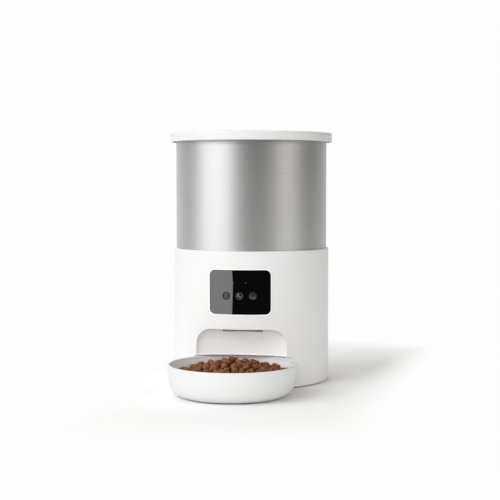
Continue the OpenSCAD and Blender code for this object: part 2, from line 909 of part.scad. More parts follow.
module left_latch_spring() { latch_spring(-1); }
module right_latch_spring() { latch_spring(1); }

module desiccant_holder() {
    color("white") ring(holder_r, holder_r - 2, holder_bottom, lid_under);
}

module desiccant_pack() {
    color("lightsteelblue")
    translate([0, 0, holder_bottom + 1]) cylinder(r = holder_r - 4, h = 15);
}

module desiccant_grille() {
    z = holder_bottom - 2.8;
    color("white")
    difference() {
        union() {
            translate([0, 0, z]) cylinder(r = holder_r + 2, h = 2.5);
            ring(holder_r + 2, holder_r + fit_gap, z + 2, z + 9);
        }
        for (i = [0:7]) rotate([0, 0, 45 * i]) translate([6, -1.2, z - 1]) cube([13, 2.4, 6]);
    }
}

// ---------------------------------------------------------------- bowl

// Height of the bowl's outside at a radius: a superellipse from the foot to the full width
function side_z(t, h) = h * (1 - pow(1 - pow(t, 2.55), 1 / 2.55));

module bowl() {
    bowl_t = 2.6;
    curve_h = 0.85 * bowl_h;
    steps = 12;
    span = bowl_r - bowl_foot_r;
    side = [for (k = [0:steps]) let (t = 1 - pow(1 - k / steps, 1.8)) [bowl_foot_r + span * t,
        side_z(t, curve_h)]];
    in_span = span - 0.4;
    inside = [for (k = [steps:-1:0]) let (t = 1 - pow(1 - k / steps, 1.8))
        [bowl_foot_r - bowl_t + 0.4 + in_span * t, bowl_t + 1.6 + side_z(t, curve_h - bowl_t)]];
    rim = bowl_t / 2;
    color("white") translate([bowl_aside, 0, 0]) at_bowl()
    rotate_extrude() polygon(concat(
        [[0, 1.2], [bowl_foot_r - 5, 1.2], [bowl_foot_r - 4.4, 0.6], [bowl_foot_r - 0.6, 0.6]],
        [for (p = side) [p[0], max(0.6, p[1] + 0.6 * (1 - p[1] / bowl_h))]],
        [for (a = [0:22.5:180]) [bowl_r - rim + rim * cos(a), bowl_h - rim + rim * sin(a)]],
        inside,
        [[0, bowl_t + 1.6]]));
}

module bowl_foot_ring() {
    color("dimgray") translate([bowl_aside, 0, 0]) at_bowl()
    ring(bowl_foot_r - 1.5, bowl_foot_r - 4.3, 0, 0.6);
}

housing();
base_plate();
non_slip_ring();
base_screws();
dispenser_deck();
deck_screws();
chute();
window_bezel();
camera_window();
camera_lens();
camera_barrel();
left_ir_lens();
right_ir_lens();
red_status_light();
green_status_light();
camera_board();
main_board();
ribbon_cable();
speaker();
power_board();
power_socket();
reset_switch();
reset_button();
reset_spring();
battery_tray();
battery_1();
battery_2();
battery_3();
battery_springs();
battery_contacts();
battery_door();
gear_case_lower();
gear_case_upper();
gear_case_screws();
output_bush();
idler_axle();
motor();
motor_pinion();
idler_gear();
drive_gear();
drive_shaft();
drive_dog();
hopper_sleeve();
hopper_tank();
metering_chamber();
drop_cover();
rotor_hub();
rotor_paddles();
agitator();
lid();
lid_seal();
left_lid_latch();
right_lid_latch();
left_latch_spring();
right_latch_spring();
desiccant_holder();
desiccant_pack();
desiccant_grille();
bowl();
bowl_foot_ring();
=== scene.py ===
"""Looks of the round pet feeder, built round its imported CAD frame.

Metres, +Z up, the front faces -Y.
"""

import json
import math

import bmesh
import bpy
import numpy as np
from mathutils import Matrix, Vector


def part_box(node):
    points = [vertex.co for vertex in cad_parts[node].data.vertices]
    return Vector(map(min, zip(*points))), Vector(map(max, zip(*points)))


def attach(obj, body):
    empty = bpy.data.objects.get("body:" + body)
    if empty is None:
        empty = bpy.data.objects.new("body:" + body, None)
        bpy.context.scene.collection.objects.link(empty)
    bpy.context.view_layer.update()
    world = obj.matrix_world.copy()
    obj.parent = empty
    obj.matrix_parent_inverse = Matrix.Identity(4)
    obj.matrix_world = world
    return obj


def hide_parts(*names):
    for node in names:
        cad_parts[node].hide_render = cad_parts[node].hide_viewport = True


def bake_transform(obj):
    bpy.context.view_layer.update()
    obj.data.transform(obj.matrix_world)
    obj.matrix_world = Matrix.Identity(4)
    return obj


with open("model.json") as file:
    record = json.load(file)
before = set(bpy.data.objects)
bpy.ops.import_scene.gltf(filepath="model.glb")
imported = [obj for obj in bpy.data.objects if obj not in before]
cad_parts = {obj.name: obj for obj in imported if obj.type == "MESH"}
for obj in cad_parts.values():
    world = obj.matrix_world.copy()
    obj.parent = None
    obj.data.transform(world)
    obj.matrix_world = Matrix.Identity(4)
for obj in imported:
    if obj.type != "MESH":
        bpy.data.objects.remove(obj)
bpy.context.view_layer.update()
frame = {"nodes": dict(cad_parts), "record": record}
NODES = frame["nodes"]
MM = 0.001
UP = Vector((0, 0, 1))
rng = np.random.default_rng(7)


# ------------------------------------------------------------------ node helpers

class Graph:
    """A short way to write a node tree."""

    def __init__(self, tree):
        self.tree = tree

    def add(self, kind, inputs=None, **props):
        node = self.tree.nodes.new(kind)
        for name, value in props.items():
            setattr(node, name, value)
        self.set(node, inputs or {})
        return node

    def set(self, node, inputs):
        for name, value in inputs.items():
            self.feed(node.inputs[name], value)

    def feed(self, socket, value):
        if isinstance(value, bpy.types.NodeSocket):
            self.tree.links.new(value, socket)
        else:
            socket.default_value = value

    def find(self, kind):
        return next(node for node in self.tree.nodes if node.type == kind)

    def math(self, op, a, b=0.0):
        return self.add("ShaderNodeMath", {0: a, 1: b}, operation=op).outputs[0]

    def span(self, value, low, high, to_low=0.0, to_high=1.0):
        """A smooth step from to_low to to_high while the value goes from low to high."""
        return self.add("ShaderNodeMapRange", {
            "Value": value, "From Min": low, "From Max": high,
            "To Min": to_low, "To Max": to_high}, interpolation_type="SMOOTHSTEP").outputs[0]

    def spread(self, noise, to_low=0.0, to_high=1.0):
        """Noise, which keeps near its middle, spread over the whole of a range."""
        return self.span(noise, 0.3, 0.7, to_low, to_high)

    def between(self, value, low, high, soft_low, soft_high):
        """1 from low to high, falling to 0 over the soft widths."""
        up = self.span(value, low - soft_low, low + soft_low)
        down = self.span(value, high - soft_high, high + soft_high, 1.0, 0.0)
        return self.math("MULTIPLY", up, down)

    def noise(self, where, scale, detail=3.0, rough=0.55):
        return self.add("ShaderNodeTexNoise", {
            "Vector": where, "Scale": scale, "Detail": detail, "Roughness": rough}).outputs[0]

    def axes(self, where):
        return self.add("ShaderNodeSeparateXYZ", {"Vector": where}).outputs

    def flat(self, x, y):
        return self.add("ShaderNodeCombineXYZ", {"X": x, "Y": y}).outputs[0]

    def length(self, vector):
        return self.add("ShaderNodeVectorMath", {0: vector}, operation="LENGTH").outputs["Value"]

    def attribute(self, name):
        return self.add("ShaderNodeAttribute", attribute_name=name).outputs["Fac"]

    def mix(self, factor, a, b):
        """A mix of two colours. The node has sockets for each data type, told apart by number."""
        node = self.add("ShaderNodeMix", data_type="RGBA")
        self.set(node, {0: factor, 6: a, 7: b})
        return node.outputs[2]


def rgba(color, gain=1.0):
    return tuple(min(1.0, c * gain) for c in color) + (1.0,)


def start(name):
    """A new material: (material, graph, shader, object coordinates in metres)."""
    material = bpy.data.materials.new(name)
    material.use_nodes = True
    graph = Graph(material.node_tree)
    where = graph.add("ShaderNodeTexCoord").outputs["Object"]
    return material, graph, graph.find("BSDF_PRINCIPLED"), where


def reopen(material):
    """A finished material's graph and shader, and the colour that it has so far."""
    graph = Graph(material.node_tree)
    shader = graph.find("BSDF_PRINCIPLED")
    return graph, shader, shader.inputs["Base Color"].links[0].from_socket


def bump(graph, shader, height, depth, strength=1.0):
    node = graph.add("ShaderNodeBump", {"Strength": strength, "Distance": depth, "Height": height})
    graph.feed(shader.inputs["Normal"], node.outputs[0])


def moulded(name, color, rough, grain, depth, drift=0.02, rough_drift=0.05, ior=1.5, coat=0.0):
    """Moulded plastic or rubber: a fine grain, a slow drift of colour and uneven gloss."""
    material, g, shader, where = start(name)
    slow = g.noise(where, 14.0, 2.0)
    uneven = g.noise(where, 90.0, 4.0)
    g.set(shader, {
        "Base Color": g.mix(slow, rgba(color, 1 - drift), rgba(color, 1 + drift)),
        "Roughness": g.spread(uneven, max(0.02, rough - rough_drift), rough + rough_drift),
        "IOR": ior})
    if coat:
        g.set(shader, {"Coat Weight": coat, "Coat Roughness": 0.05})
    bump(g, shader, g.noise(where, grain, 2.0), depth)
    return material


def metal(name, color, rough, stretch, depth, drift=0.06, rough_drift=0.06, anisotropy=0.0,
          turn=0.0):
    """Worked metal: streaks along the direction that the stretch leaves slow."""
    material, g, shader, where = start(name)
    stretched = g.add("ShaderNodeMapping", {"Vector": where, "Scale": stretch}).outputs[0]
    streaks = g.noise(stretched, 1.0, 4.0, 0.6)
    g.set(shader, {
        "Base Color": g.mix(g.spread(streaks), rgba(color, 1 - drift), rgba(color, 1 + drift)),
        "Roughness": g.spread(streaks, max(0.03, rough - rough_drift), rough + rough_drift),
        "Metallic": 1.0})
    if anisotropy:
        tangent = g.add("ShaderNodeTangent", direction_type="RADIAL", axis="Z")
        g.set(shader, {"Anisotropic": anisotropy, "Anisotropic Rotation": turn,
                       "Tangent": tangent.outputs[0]})
    bump(g, shader, streaks, depth)
    return material


# ------------------------------------------------------------------ materials

WHITE = (0.745, 0.744, 0.743)
BOWL_WHITE = (0.68, 0.68, 0.68)
# painted light: the inside of the bowl is painted brighter than its outside
BOWL_INNER_PAINTED_LIGHT = (0.93, 0.93, 0.928)
# painted highlight and painted light: the frame round the window and the faces inside the shell are
# painted this brighter white
PAINTED_LIGHT_WHITE = (0.93, 0.93, 0.93)
FRAME_ROUND = 8 * MM
# the housing's faces this far inside its radius are inner ones, which get painted light
SHELL = 1.5 * MM
# where a battery's band, tip and foot turn from one finish to the next, from its ends
BAND_EDGE = (17.5 * MM, 17.2 * MM)
TIP_EDGE = (3.2 * MM, 3.0 * MM)
FOOT_EDGE = (1.6 * MM, 1.8 * MM)


def board_material():
    """Solder mask with faint tracks."""
    material, g, shader, where = start("circuit_board")
    tracks = g.add("ShaderNodeTexVoronoi", {"Vector": where, "Scale": 420.0},
                   feature="DISTANCE_TO_EDGE", distance="CHEBYCHEV").outputs["Distance"]
    line = g.span(tracks, 0.02, 0.07, 1.0, 0.0)
    mask, track = (0.012, 0.10, 0.035, 1), (0.03, 0.19, 0.07, 1)
    g.set(shader, {"Base Color": g.mix(line, mask, track), "Roughness": 0.32})
    bump(g, shader, line, 0.00003)
    return material


def battery_material():
    """A dark wrap with a copper-coloured band at the positive end, and steel at both ends."""
    material, g, shader, where = start("battery_wrap")
    along = g.axes(where)["Y"]
    low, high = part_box("battery_2")
    shoulder = g.span(along, *(high.y - edge for edge in BAND_EDGE))
    tip = g.span(along, *(high.y - edge for edge in TIP_EDGE))
    foot = g.span(along, *(low.y + edge for edge in FOOT_EDGE), 1.0, 0.0)
    steel = g.math("MAXIMUM", tip, foot)
    band = g.mix(shoulder, (0.018, 0.022, 0.03, 1), (0.48, 0.26, 0.11, 1))
    speck = g.noise(where, 900.0, 2.0)
    g.set(shader, {
        "Base Color": g.mix(steel, band, (0.6, 0.6, 0.6, 1)),
        "Metallic": g.math("MAXIMUM", steel, g.math("MULTIPLY", shoulder, 0.7)),
        "Roughness": g.spread(speck, 0.24, 0.36)})
    return material


def paper_material():
    """The woven wrap of the desiccant pack."""
    material, g, shader, where = start("desiccant_paper")
    rows = [g.add("ShaderNodeTexWave", {"Vector": where, "Scale": 260.0, "Distortion": 0.6},
                  bands_direction=axis).outputs["Fac"] for axis in ("X", "Y")]
    weave = g.math("MULTIPLY", *rows)
    gap, thread = (0.62, 0.68, 0.74, 1), (0.84, 0.87, 0.90, 1)
    g.set(shader, {"Base Color": g.mix(weave, gap, thread), "Roughness": 0.8})
    bump(g, shader, weave, 0.0001)
    return material


def kibble_material():
    """Baked food: pores, painted shade in the dents and a colour of its own for each piece."""
    material, g, shader, where = start("kibble")
    tone = g.attribute("tone")
    blotch = g.noise(where, 520.0, 4.0, 0.6)
    pores = g.noise(where, 1500.0, 3.0, 0.6)
    # painted shade: where the blotch noise is low, which are the bump's dents, the darker colour is
    # used
    warm = g.mix(tone, (0.168, 0.056, 0.021, 1), (0.336, 0.134, 0.050, 1))
    dark = g.mix(tone, (0.066, 0.019, 0.007, 1), (0.130, 0.044, 0.016, 1))
    g.set(shader, {
        "Base Color": g.mix(g.span(blotch, 0.34, 0.62), dark, warm),
        "Roughness": g.spread(blotch, 0.62, 0.48),
        "Specular IOR Level": 0.25})
    bump(g, shader, g.math("ADD", blotch, g.math("MULTIPLY", pores, 0.5)), 0.0006, 0.9)
    return material


def window_material():
    """Black glossy plastic with a faint film of unevenness."""
    material, g, shader, where = start("window_black")
    film = g.noise(where, 60.0, 3.0)
    deep, faint = (0.0008, 0.0008, 0.001, 1), (0.0016, 0.0016, 0.002, 1)
    g.set(shader, {
        "Base Color": g.mix(film, deep, faint), "Roughness": g.spread(film, 0.015, 0.04),
        "IOR": 2.25, "Coat Weight": 1.0, "Coat Roughness": 0.02})
    return material


def housing_material():
    """White plastic, with a painted highlight on the frame round the window and painted light,
    which lifts the shade, on the faces inside the shell.
    """
    material = moulded("housing_white", WHITE, 0.40, 2600, 0.000018, 0.006)
    g, shader, plain = reopen(material)
    axes = g.axes(g.add("ShaderNodeTexCoord").outputs["Object"])
    low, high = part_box("window_bezel")
    half = (high - low) / 2
    centre = (high + low) / 2
    across = g.math("SUBTRACT", g.math("ABSOLUTE", axes["X"]), half.x - FRAME_ROUND)
    up = g.math("SUBTRACT", g.math("ABSOLUTE", g.math("SUBTRACT", axes["Z"], centre.z)),
                half.z - FRAME_ROUND)
    reach = g.length(g.flat(g.math("MAXIMUM", across, 0.0), g.math("MAXIMUM", up, 0.0)))
    # painted highlight on a band round the window
    frame_highlight = g.math("MULTIPLY", g.math("LESS_THAN", reach, FRAME_ROUND),
                      g.math("LESS_THAN", axes["Y"], centre.y / 2))
    body_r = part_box("housing")[1].x
    from_axis = g.length(g.flat(axes["X"], axes["Y"]))
    # painted light on the faces inside the shell, which lifts the shade in the mouth
    inside = g.math("LESS_THAN", from_axis, body_r - SHELL)
    painted_light_mask = g.math("MAXIMUM", frame_highlight, inside)
    g.set(shader, {"Base Color": g.mix(painted_light_mask, plain, rgba(PAINTED_LIGHT_WHITE))})
    return material


def bowl_material():
    """Glossy white, with painted light on the faces that the bowl's mesh marks as inner: they are
    brighter in place of the light inside the bowl.
    """
    material = moulded("bowl_white", BOWL_WHITE, 0.14, 900, 0.000004, 0.004, rough_drift=0.03)
    g, shader, plain = reopen(material)
    # painted light on the bowl's inner faces
    g.set(shader, {"Base Color": g.mix(g.attribute("inner"), plain, rgba(BOWL_INNER_PAINTED_LIGHT))})
    return material


def glow_material(name, color, strength):
    """A diffusing light pipe that glows faintly."""
    material, g, shader, where = start(name)
    soft = g.noise(where, 3000.0, 1.0)
    g.set(shader, {
        "Base Color": g.mix(soft, rgba(color, 0.8), rgba(color)), "Roughness": 0.35,
        "Emission Color": rgba(color), "Emission Strength": strength})
    return material


# after its name and colour, moulded() and metal() take the roughness, the scale of the grain or the
# stretch of the streaks, and their depth in metres
MATERIALS = {
    "housing_white": housing_material(),
    "lid_white": moulded("lid_white", WHITE, 0.36, 2600, 0.000014, 0.006),
    "bowl_white": bowl_material(),
    "inner_white": moulded("inner_white", (0.72, 0.72, 0.71), 0.48, 1800, 0.00003),
    "base_grey": moulded("base_grey", (0.55, 0.55, 0.55), 0.55, 1500, 0.00008),
    "brushed_steel": metal("brushed_steel", (0.664, 0.665, 0.664), 0.48, (4, 4, 1500), 0.000003,
                           drift=0.045, rough_drift=0.025, anisotropy=0.45, turn=0.25),
    "window_black": window_material(),
    "lens_glass": moulded("lens_glass", (0.006, 0.006, 0.009), 0.04, 500, 0.000001, drift=0.2,
                          rough_drift=0.01, ior=2.0, coat=1.0),
    "ir_lens": moulded("ir_lens", (0.022, 0.023, 0.025), 0.20, 3000, 0.000004, 0.1, ior=1.7),
    "red_light": glow_material("red_light", (0.16, 0.03, 0.035), 0.03),
    "green_light": glow_material("green_light", (0.03, 0.11, 0.05), 0.03),
    "black_plastic": moulded("black_plastic", (0.022, 0.022, 0.022), 0.42, 1600, 0.00003, 0.1),
    "circuit_board": board_material(),
    "ribbon_grey": moulded("ribbon_grey", (0.42, 0.42, 0.43), 0.5, 1200, 0.00002),
    "battery_wrap": battery_material(),
    "spring_steel": metal("spring_steel", (0.62, 0.62, 0.61), 0.18, (900, 900, 900), 0.000004),
    "screw_steel": metal("screw_steel", (0.56, 0.56, 0.55), 0.28, (700, 700, 2400), 0.00001),
    "motor_steel": metal("motor_steel", (0.52, 0.52, 0.51), 0.32, (60, 60, 1800), 0.00001),
    "bush_brass": metal("bush_brass", (0.68, 0.47, 0.20), 0.26, (60, 60, 2200), 0.00001),
    "gear_plastic": moulded("gear_plastic", (0.74, 0.71, 0.62), 0.42, 1600, 0.00003),
    "tank_grey": moulded("tank_grey", (0.50, 0.51, 0.52), 0.30, 1400, 0.00001),
    "silicone_grey": moulded("silicone_grey", (0.32, 0.33, 0.34), 0.62, 1900, 0.00003),
    "rubber_grey": moulded("rubber_grey", (0.045, 0.045, 0.046), 0.72, 1300, 0.00008, 0.1),
    "desiccant_paper": paper_material(),
    "kibble": kibble_material(),
}

for subpart in frame["record"]["subparts"]:
    for material_slot in NODES[subpart["node"]].material_slots:
        material_slot.link = "OBJECT"
        material_slot.material = MATERIALS[subpart["material_slot"]]


# ------------------------------------------------------------------ mesh helpers

def put(name, data):
    """A new object in the scene."""
    thing = bpy.data.objects.new(name, data)
    bpy.context.scene.collection.objects.link(thing)
    return thing


def new_piece(name, mesh, slot, body=None):
    """A smooth piece of the feeder with a finish from the record. It rides on a body if named."""
    mesh.polygons.foreach_set("use_smooth", [True] * len(mesh.polygons))
    mesh.materials.append(MATERIALS[slot])
    piece = put(name, mesh)
    if body:
        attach(piece, body)
    return piece


def finished_mesh(bm, name):
    """The mesh of a finished bmesh, with its faces turned outwards."""
    bmesh.ops.recalc_face_normals(bm, faces=bm.faces)
    mesh = bpy.data.meshes.new(name)
    bm.to_mesh(mesh)
    bm.free()
    return mesh


def lathe(profile, centre, sides, axis=UP):
    """A mesh turned round an axis through a centre. The profile holds (radius, height) pairs."""
    turn = UP.rotation_difference(axis).to_matrix()
    bm = bmesh.new()
    rings = []
    for radius, height in profile:
        if radius < 1e-7:
            rings.append([bm.verts.new(turn @ Vector((0, 0, height)) + centre)])
            continue
        rings.append([bm.verts.new(turn @ Vector((
            radius * math.cos(2 * math.pi * k / sides), radius * math.sin(2 * math.pi * k / sides),
            height)) + centre) for k in range(sides)])
    for low, high in zip(rings, rings[1:]):
        for k in range(sides):
            n = (k + 1) % sides
            if len(low) == 1:
                bm.faces.new((low[0], high[n], high[k]))
            elif len(high) == 1:
                bm.faces.new((low[k], low[n], high[0]))
            else:
                bm.faces.new((low[k], low[n], high[n], high[k]))
    return finished_mesh(bm, "turned")


# ------------------------------------------------------------------ bowl

bowl_low, bowl_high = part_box("bowl")
bowl_r = (bowl_high.x - bowl_low.x) / 2
bowl_centre = Vector(((bowl_high.x + bowl_low.x) / 2, (bowl_high.y + bowl_low.y) / 2, 0))
bowl_h = bowl_high.z
bowl_base = bowl_low.z
# the shell's wall, foot, floor and sides
WALL = 2.6 * MM
FOOT_R = 52 * MM
FOOT_EASE = 0.4 * MM
RECESS_IN, FOOT_IN = 5 * MM, 4.4 * MM
FLOOR_TOP = WALL + 1.6 * MM
FLOOR_UNDER = 1.2 * MM
SIDE_SHARE = 0.85
CURVE = 2.55
BOWL_SIDES = 192
SIDE_STEPS = 56
SIDE_CROWDING = 1.8
RIM_STEPS = 17


def side_height(t, height):
    """The bowl's side between its foot and its full width: a superellipse."""
    return height * (1 - (1 - t ** CURVE) ** (1 / CURVE))


def bowl_profile():
    """The outer and the inner side of the bowl as (radius, height) pairs."""
    across = [1 - (1 - k / SIDE_STEPS) ** SIDE_CROWDING for k in range(SIDE_STEPS + 1)]
    outer = []
    for t in across:
        z = side_height(t, SIDE_SHARE * bowl_h)
        outer.append((FOOT_R + (bowl_r - FOOT_R) * t, z + bowl_base * (1 - z / bowl_h)))
    inner = [(FOOT_R - WALL + FOOT_EASE + (bowl_r - FOOT_R - FOOT_EASE) * t,
              FLOOR_TOP + side_height(t, SIDE_SHARE * bowl_h - WALL)) for t in across]
    return outer, inner


def bowl_shell():
    """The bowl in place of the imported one. Returns its inner side for the food to lie on."""
    outer, inner = bowl_profile()
    round_r = WALL / 2
    rim = [(bowl_r - round_r + round_r * math.cos(a), bowl_h - round_r + round_r * math.sin(a))
           for a in np.linspace(0, math.pi, RIM_STEPS)]
    under = [(0, FLOOR_UNDER), (FOOT_R - RECESS_IN, FLOOR_UNDER), (FOOT_R - FOOT_IN, bowl_base)]
    inside = inner[::-1] + [(FOOT_R * 0.9 - WALL, FLOOR_TOP), (0, FLOOR_TOP)]
    mesh = lathe(under + outer + rim + inside, bowl_centre, BOWL_SIDES)
    # the last of the inside's rings is a single point
    is_inner = np.zeros(len(mesh.vertices))
    is_inner[-(BOWL_SIDES * (len(inside) - 1) + 1):] = 1
    mesh.attributes.new("inner", "FLOAT", "POINT").data.foreach_set("value", is_inner)
    piece = new_piece("bowl_shell", mesh, "bowl_white", "bowl")
    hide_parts("bowl")
    return inner


bowl_inner = bowl_shell()


# ------------------------------------------------------------------ food in the bowl

KIBBLE_R = 3.75 * MM
HEAP_TOP = 42.0 * MM
HEAP_DROP = 10.5 * MM
HEAP_REACH = 58 * MM
HEAP_ASIDE = 2.2 * MM
# bumps and a dip of the heap: place across, place along, rise and width
PEAK = (-4 * MM, 5 * MM, 4.8 * MM, 8 * MM)
DIP = (13 * MM, 8 * MM, -5.0 * MM, 8 * MM)
BUMP = (24 * MM, 0, 2.0 * MM, 7 * MM)
# places tried for each ball, how many of them go to each bump and how near its middle
TRIES = 70
BUMP_TRIES = 12
BUMP_SPREAD = 0.5
# how much a higher surface above a place makes up for the place's height
HEAP_PULL = 0.25
MOST_MISSES = 40
MOST_BALLS = 1500
PROFILE_SAMPLES = 600
# pieces near the surface have finer meshes
FINE_DEPTH = 4.2 * KIBBLE_R
FINE_LEVEL, COARSE_LEVEL = 4, 2
# each piece's size, widths and height as shares of the ball
PIECE_SIZE, PIECE_WIDE, PIECE_HIGH = (0.98, 1.12), (1.0, 1.1), (0.70, 0.84)
LUMP_WAVES = 3
LUMP_RATE = (1.6, 2.8)
LUMP_RISE = 0.035
LUMP_PHASES = 6.28


def heap_height(x, y):
    """Height of the heap's surface at a place seen from the bowl's centre."""
    x = x - HEAP_ASIDE
    height = HEAP_TOP - HEAP_DROP * (np.hypot(x, y) / HEAP_REACH) ** 2
    for across, along, rise, width in (PEAK, DIP, BUMP):
        height = height + rise * np.exp(-((x - across) ** 2 + (y - along) ** 2) / width ** 2)
    return height


def rest_height(radius):
    """Lowest height of a ball's centre on the bowl's inside, at distances from the bowl's axis."""
    profile = np.array([(0.0, bowl_inner[0][1])] + bowl_inner)
    at = np.linspace(0, profile[-1, 0], PROFILE_SAMPLES)
    fine = np.interp(at, profile[:, 0], profile[:, 1])
    gap = np.abs(at[None, :] - radius[:, None])
    lift = np.where(gap < KIBBLE_R, np.sqrt(np.maximum(KIBBLE_R ** 2 - gap ** 2, 0)), -1.0)
    return (fine[None, :] + lift).max(axis=1)


def drop_balls():
    """Balls dropped one by one into the lowest free place under the heap's surface."""
    placed = np.zeros((0, 3))
    reach = bowl_inner[-1][0] - KIBBLE_R
    misses = 0
    while misses < MOST_MISSES and len(placed) < MOST_BALLS:
        radius = reach * np.sqrt(rng.random(TRIES))
        angle = 2 * math.pi * rng.random(TRIES)
        x, y = radius * np.cos(angle), radius * np.sin(angle)
        # some of the tries go to the bumps, so that they fill up
        for first, (across, along, _, width) in ((0, PEAK), (BUMP_TRIES, BUMP)):
            some = slice(first, first + BUMP_TRIES)
            x[some] = HEAP_ASIDE + across + width * rng.normal(size=BUMP_TRIES) * BUMP_SPREAD
            y[some] = along + width * rng.normal(size=BUMP_TRIES) * BUMP_SPREAD
        z = rest_height(np.hypot(x, y))
        if len(placed):
            gap = np.hypot(x[:, None] - placed[None, :, 0], y[:, None] - placed[None, :, 1])
            lift = np.sqrt(np.maximum((2 * KIBBLE_R) ** 2 - gap ** 2, 0))
            on_ball = np.where(gap < 2 * KIBBLE_R, placed[None, :, 2] + lift, 0)
            z = np.maximum(z, on_ball.max(axis=1))
        over = z + KIBBLE_R - heap_height(x, y)
        if over.min() > 0:
            misses += 1
            continue
        score = z - HEAP_PULL * heap_height(x, y)
        best = int(np.argmin(np.where(over > 0, np.inf, score)))
        misses = 0
        placed = np.vstack((placed, (x[best], y[best], z[best])))
    return placed


def ball_mesh(levels):
    bm = bmesh.new()
    bmesh.ops.create_icosphere(bm, subdivisions=levels, radius=1.0)
    points = np.array([v.co for v in bm.verts])
    faces = np.array([[v.index for v in f.verts] for f in bm.faces])
    bm.free()
    return points, faces


def random_turn():
    """A random rotation, from a random quaternion."""
    q = rng.normal(size=4)
    q /= np.linalg.norm(q)
    w, x, y, z = q
    return np.array([
        [1 - 2 * (y * y + z * z), 2 * (x * y - z * w), 2 * (x * z + y * w)],
        [2 * (x * y + z * w), 1 - 2 * (x * x + z * z), 2 * (y * z - x * w)],
        [2 * (x * z - y * w), 2 * (y * z + x * w), 1 - 2 * (x * x + y * y)]])


def kibble_heap():
    centres = drop_balls()
    depth = heap_height(centres[:, 0], centres[:, 1]) - centres[:, 2]
    shapes = {True: ball_mesh(FINE_LEVEL), False: ball_mesh(COARSE_LEVEL)}
    points, faces, tones = [], [], []
    count = 0
    for centre, below in zip(centres, depth):
        ball, corners = shapes[bool(below < FINE_DEPTH)]
        turn = random_turn()
        size = KIBBLE_R * rng.uniform(*PIECE_SIZE)
        sides = [rng.uniform(*share) for share in (PIECE_WIDE, PIECE_WIDE, PIECE_HIGH)]
        shape = ball * (size * np.array(sides))
        # a few random low waves make each piece lumpy
        for _ in range(LUMP_WAVES):
            wave = rng.normal(size=3)
            wave *= rng.uniform(*LUMP_RATE) / np.linalg.norm(wave)
            lump = LUMP_RISE * np.sin(ball @ wave + rng.uniform(0, LUMP_PHASES))
            shape = shape * (1 + lump)[:, None]
        points.append(shape @ turn.T + centre + np.array(bowl_centre))
        faces.append(corners + count)
        tones.append(np.full(len(ball), rng.random()))
        count += len(ball)
    mesh = bpy.data.meshes.new("kibble")
    mesh.from_pydata(np.vstack(points).tolist(), [], np.vstack(faces).tolist())
    tone = mesh.attributes.new("tone", "FLOAT", "POINT")
    tone.data.foreach_set("value", np.concatenate(tones))
    new_piece("kibble", mesh, "kibble", "bowl")


kibble_heap()


# ------------------------------------------------------------------ lenses in the window

LENS_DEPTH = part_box("camera_lens")[1].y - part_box("camera_lens")[0].y
LENS_SIDES = 96
DOME_STEPS = 24


def optics(node, glass_slot, glass_share, bulge):
    """A lens in the window: a stepped ring and a dome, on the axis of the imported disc."""
    low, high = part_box(node)
    disc_r = (high.z - low.z) / 2
    middle = (low + high) / 2
    out = Vector((middle.x, middle.y, 0)).normalized()
    back = middle - out * (LENS_DEPTH / 2)
    edge = glass_share * disc_r
    ring = [(disc_r, 0), (disc_r, 0.85 * LENS_DEPTH), (0.95 * disc_r, LENS_DEPTH),
            (edge + 0.12 * disc_r, LENS_DEPTH), (edge + 0.03 * disc_r, 0.6 * LENS_DEPTH), (edge, 0)]
    new_piece(node + "_ring", lathe(ring, back, LENS_SIDES, out), "black_plastic", "base")
    dome = [(edge * math.cos(a), LENS_DEPTH * (0.9 - bulge + bulge * math.sin(a)))
            for a in np.linspace(0, math.pi / 2, DOME_STEPS)]
    glass = new_piece(node + "_glass", lathe(dome, back, LENS_SIDES, out), glass_slot, "base")
    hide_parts(node)


optics("camera_lens", "lens_glass", glass_share=0.60, bulge=0.8)
optics("left_ir_lens", "ir_lens", glass_share=0.74, bulge=0.25)
optics("right_ir_lens", "ir_lens", glass_share=0.74, bulge=0.25)


# ------------------------------------------------------------------ springs

WIRE_SIDES = 10
COIL_STEPS = 32


def spring(node, axis, moving_end, turns, wire):
    """A coil in place of the imported spring, wound from its fixed end to its moving end."""
    low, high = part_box(node)
    start, end = (low + high) / 2, (low + high) / 2
    start[axis], end[axis] = (low[axis], high[axis]) if moving_end > 0 else (high[axis], low[axis])
    ahead = (end - start).normalized()
    across = ahead.cross(UP)
    radius = (high.z - low.z) / 2 - wire
    length = (end - start).length - 2 * wire
    count = turns * COIL_STEPS
    bm = bmesh.new()
    rings = []
    for i in range(count + 1):
        turn = 2 * math.pi * i / COIL_STEPS
        outward = across * math.cos(turn) + UP * math.sin(turn)
        middle = start + ahead * (wire + length * i / count) + outward * radius
        rings.append([bm.verts.new(
            middle + (outward * math.cos(b) + ahead * math.sin(b)) * wire)
            for b in np.linspace(0, 2 * math.pi, WIRE_SIDES, endpoint=False)])
    for one, two in zip(rings, rings[1:]):
        for j in range(WIRE_SIDES):
            k = (j + 1) % WIRE_SIDES
            bm.faces.new((one[j], one[k], two[k], two[j]))
    bm.faces.new(rings[0])
    bm.faces.new(rings[-1])
    piece = new_piece(node + "_coil", finished_mesh(bm, node), "spring_steel")
    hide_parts(node)
    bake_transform(piece)


spring("left_latch_spring", 0, -1, turns=3, wire=0.1 * MM)
spring("right_latch_spring", 0, 1, turns=3, wire=0.1 * MM)
spring("reset_spring", 1, 1, turns=4, wire=0.25 * MM)


# ------------------------------------------------------------------ floor, light and camera

PALE = (0.985, 0.985, 0.985)
FLOOR_R = 1.2
FLOOR_BACK = 0.45
FLOOR_SIDES = 160
FLOOR_WHITE = (0.95, 0.95, 0.95)
FLOOR_DRIFT = 0.002
